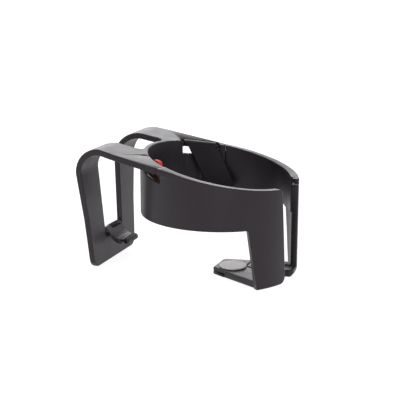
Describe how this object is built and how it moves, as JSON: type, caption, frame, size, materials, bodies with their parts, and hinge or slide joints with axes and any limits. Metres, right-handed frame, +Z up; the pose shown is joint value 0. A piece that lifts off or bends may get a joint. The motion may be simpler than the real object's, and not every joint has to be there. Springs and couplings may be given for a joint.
{
  "type": "desk cup holder",
  "caption": "Hook-over cup holder: bent windowed hook plate, cup ring with a sloping rim, two legs meeting in a V foot, sprung flaps and a red tab.",
  "frame": {"origin": "on the floor under the middle of the object's box", "axes": "+Z up along the ring axis, +X from the hook to the legs, the hook and the ring nearly mirror in Y"},
  "size_m": [0.1178, 0.09, 0.0727],
  "materials": {
    "black_plastic": "satin moulded, fine texture",
    "black_flap": "satin moulded",
    "black_rivet": "satin",
    "red_plastic": "smooth",
    "light_grey_pad": "matt",
    "spring_steel": "plain drawn wire",
    "black_rubber": "matt"
  },
  "bodies": {
    "frame": {"hook_frame": "black_plastic", "front_arm": "black_plastic", "rear_arm": "black_plastic", "foot_disc": "light_grey_pad", "foot_rivet": "spring_steel", "lap_rivet_rear_1": "black_rivet", "lap_rivet_rear_2": "black_rivet", "lap_rivet_front_1": "black_rivet", "lap_rivet_front_2": "black_rivet", "cup_flap_pin": "spring_steel", "pressure_flap_pin": "spring_steel", "release_tab_pin": "spring_steel", "cup_flap_spring": "spring_steel", "pressure_flap_spring": "spring_steel", "release_tab_spring": "spring_steel"},
    "cup_flap_body": {"cup_flap": "black_flap"},
    "pressure_flap_body": {"pressure_flap": "black_flap", "pressure_grip": "black_rubber"},
    "release_tab_body": {"release_tab": "red_plastic"}
  },
  "joints": [
    {"name": "cup_flap_hinge", "type": "hinge", "parent": "frame", "child": "cup_flap_body", "pos_m": [-0.01135, 0.0337, 0.06478], "axis": [0.7894, 0.5949, -0.1516], "range_deg": [0, 7], "stiffness_Nm_per_rad": 0.03, "springref_deg": -11.46, "deforming": ["cup_flap_spring"]},
    {"name": "pressure_flap_hinge", "type": "hinge", "parent": "frame", "child": "pressure_flap_body", "pos_m": [-0.05483, 0, 0.0182], "axis": [0, 1, 0], "range_deg": [0, 14], "stiffness_Nm_per_rad": 0.06, "springref_deg": -11.46, "deforming": ["pressure_flap_spring"]},
    {"name": "release_tab_hinge", "type": "hinge", "parent": "frame", "child": "release_tab_body", "pos_m": [-0.01194, -0.02758, 0.051], "axis": [0.7278, -0.6858, 0], "range_deg": [-14, 0], "stiffness_Nm_per_rad": 0.01, "springref_deg": 11.46, "deforming": ["release_tab_spring"]}
  ]
}
